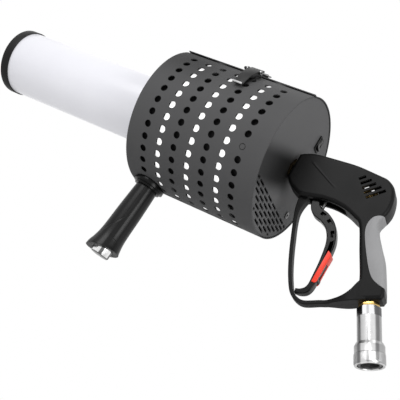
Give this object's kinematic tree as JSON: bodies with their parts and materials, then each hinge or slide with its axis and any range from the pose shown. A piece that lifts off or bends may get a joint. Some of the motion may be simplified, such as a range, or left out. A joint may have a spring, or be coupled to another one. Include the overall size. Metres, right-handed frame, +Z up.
{
  "type": "confetti blower",
  "caption": "Hand-held confetti blower: a white barrel from a lit perforated drum, a trigger gun with a gas coupler behind it and a fore grip below.",
  "frame": {"origin": "middle of the rear hand, on the axis of the gas inlet in the pistol grip", "axes": "+X from the muzzle to the gun along the barrel, +Z up, -Y the side with the drum's latch"},
  "size_m": [0.7197, 0.1992, 0.3193],
  "materials": {
    "drum_coat": "satin black powder coat",
    "plate_coat": "satin black powder coat",
    "opal_tube": "opal white, gloss",
    "black_plastic": "fine black moulding grain",
    "gloss_black": "polished black",
    "grey_rubber": "soft grey grip",
    "red_plastic": "orange red",
    "white_strip": "white diffuser",
    "brass": "turned",
    "steel": "turned and polished",
    "dark_steel": "blackened",
    "chrome": "polished"
  },
  "bodies": {
    "blower": {"perforated_sleeve": "drum_coat", "rear_plate": "plate_coat", "front_plate": "plate_coat", "barrel_tube": "opal_tube", "muzzle_ring": "black_plastic", "barrel_collar": "black_plastic", "collar_screw_1": "steel", "collar_screw_2": "steel", "collar_screw_3": "steel", "breech_disc": "black_plastic", "outlet_nipple": "brass", "outer_lock_nut": "brass", "inner_lock_nut": "brass", "gas_pipe": "steel", "led_carrier": "black_plastic", "led_strip_1": "white_strip", "led_strip_2": "white_strip", "led_strip_3": "white_strip", "battery_pack": "gloss_black", "led_controller": "black_plastic", "rocker_bezel": "black_plastic", "charging_socket": "dark_steel", "latch_base": "dark_steel", "latch_hinge_pin": "steel", "latch_keeper": "dark_steel", "latch_rivet_1": "steel", "latch_rivet_2": "steel", "latch_rivet_3": "steel", "latch_rivet_4": "steel", "gun_left_shell": "black_plastic", "gun_right_shell": "black_plastic", "grip_pad": "grey_rubber", "shell_screw_1": "steel", "shell_screw_2": "steel", "shell_screw_3": "steel", "shell_screw_4": "steel", "trigger_pin": "steel", "valve_body": "brass", "valve_cap": "brass", "valve_spring": "steel", "inlet_tube": "brass", "inlet_nipple": "brass", "coupler_body": "steel", "coupler_spring": "steel", "coupler_snap_ring": "dark_steel", "poppet_spring": "steel", "foregrip_saddle": "gloss_black", "foregrip_body": "gloss_black", "foregrip_end_cap": "chrome", "foregrip_bolt": "steel"},
    "trigger": {"trigger": "gloss_black", "safety_pin": "steel"},
    "safety": {"safety_catch": "red_plastic"},
    "valve": {"valve_stem": "steel"},
    "rocker": {"rocker_button": "gloss_black"},
    "latch_lever": {"latch_lever": "dark_steel", "latch_pin": "steel"},
    "latch_bail": {"latch_bail": "steel"},
    "coupler_sleeve": {"coupler_sleeve": "steel"},
    "coupler_poppet": {"coupler_poppet": "brass"}
  },
  "joints": [
    {"name": "trigger_pull", "type": "hinge", "parent": "blower", "child": "trigger", "pos_m": [-0.0993, 0, 0.0516], "axis": [0, -1, 0], "range_deg": [0, 20], "stiffness_Nm_per_rad": 0.4, "springref_deg": -11.46},
    {"name": "valve_lift", "type": "slide", "parent": "blower", "child": "valve", "axis": [0, 0, 1], "range_m": [0, 0.0047], "deforming": ["valve_spring"]},
    {"name": "safety_swing", "type": "hinge", "parent": "trigger", "child": "safety", "pos_m": [-0.0449, 0, -0.0494], "axis": [0, -1, 0], "range_deg": [-70, 0]},
    {"name": "rocker_switch", "type": "hinge", "parent": "blower", "child": "rocker", "pos_m": [-0.1493, 0.0315, 0.1351], "axis": [0, 1, 0], "range_deg": [0, 16]},
    {"name": "latch_lever_hinge", "type": "hinge", "parent": "blower", "child": "latch_lever", "pos_m": [-0.236, -0.06588, 0.15992], "axis": [-1, 0, 0], "range_deg": [0, 85]},
    {"name": "latch_bail_hinge", "type": "hinge", "parent": "latch_lever", "child": "latch_bail", "pos_m": [-0.236, -0.07367, 0.15542], "axis": [-1, 0, 0], "range_deg": [-86, 0]},
    {"name": "coupler_sleeve_slide", "type": "slide", "parent": "blower", "child": "coupler_sleeve", "axis": [-0.4695, 0, 0.8829], "range_m": [0, 0.005], "stiffness_N_per_m": 1500, "springref_m": -0.004, "deforming": ["coupler_spring"]},
    {"name": "coupler_poppet_slide", "type": "slide", "parent": "blower", "child": "coupler_poppet", "axis": [-0.4695, 0, 0.8829], "range_m": [0, 0.005], "stiffness_N_per_m": 800, "springref_m": -0.004, "deforming": ["poppet_spring"]}
  ],
  "couplings": [
    {"joint": "valve_lift", "follows": "trigger_pull", "m_per_rad": 0.01335},
    {"joint": "latch_bail_hinge", "follows": "latch_lever_hinge", "ratio": -1}
  ]
}
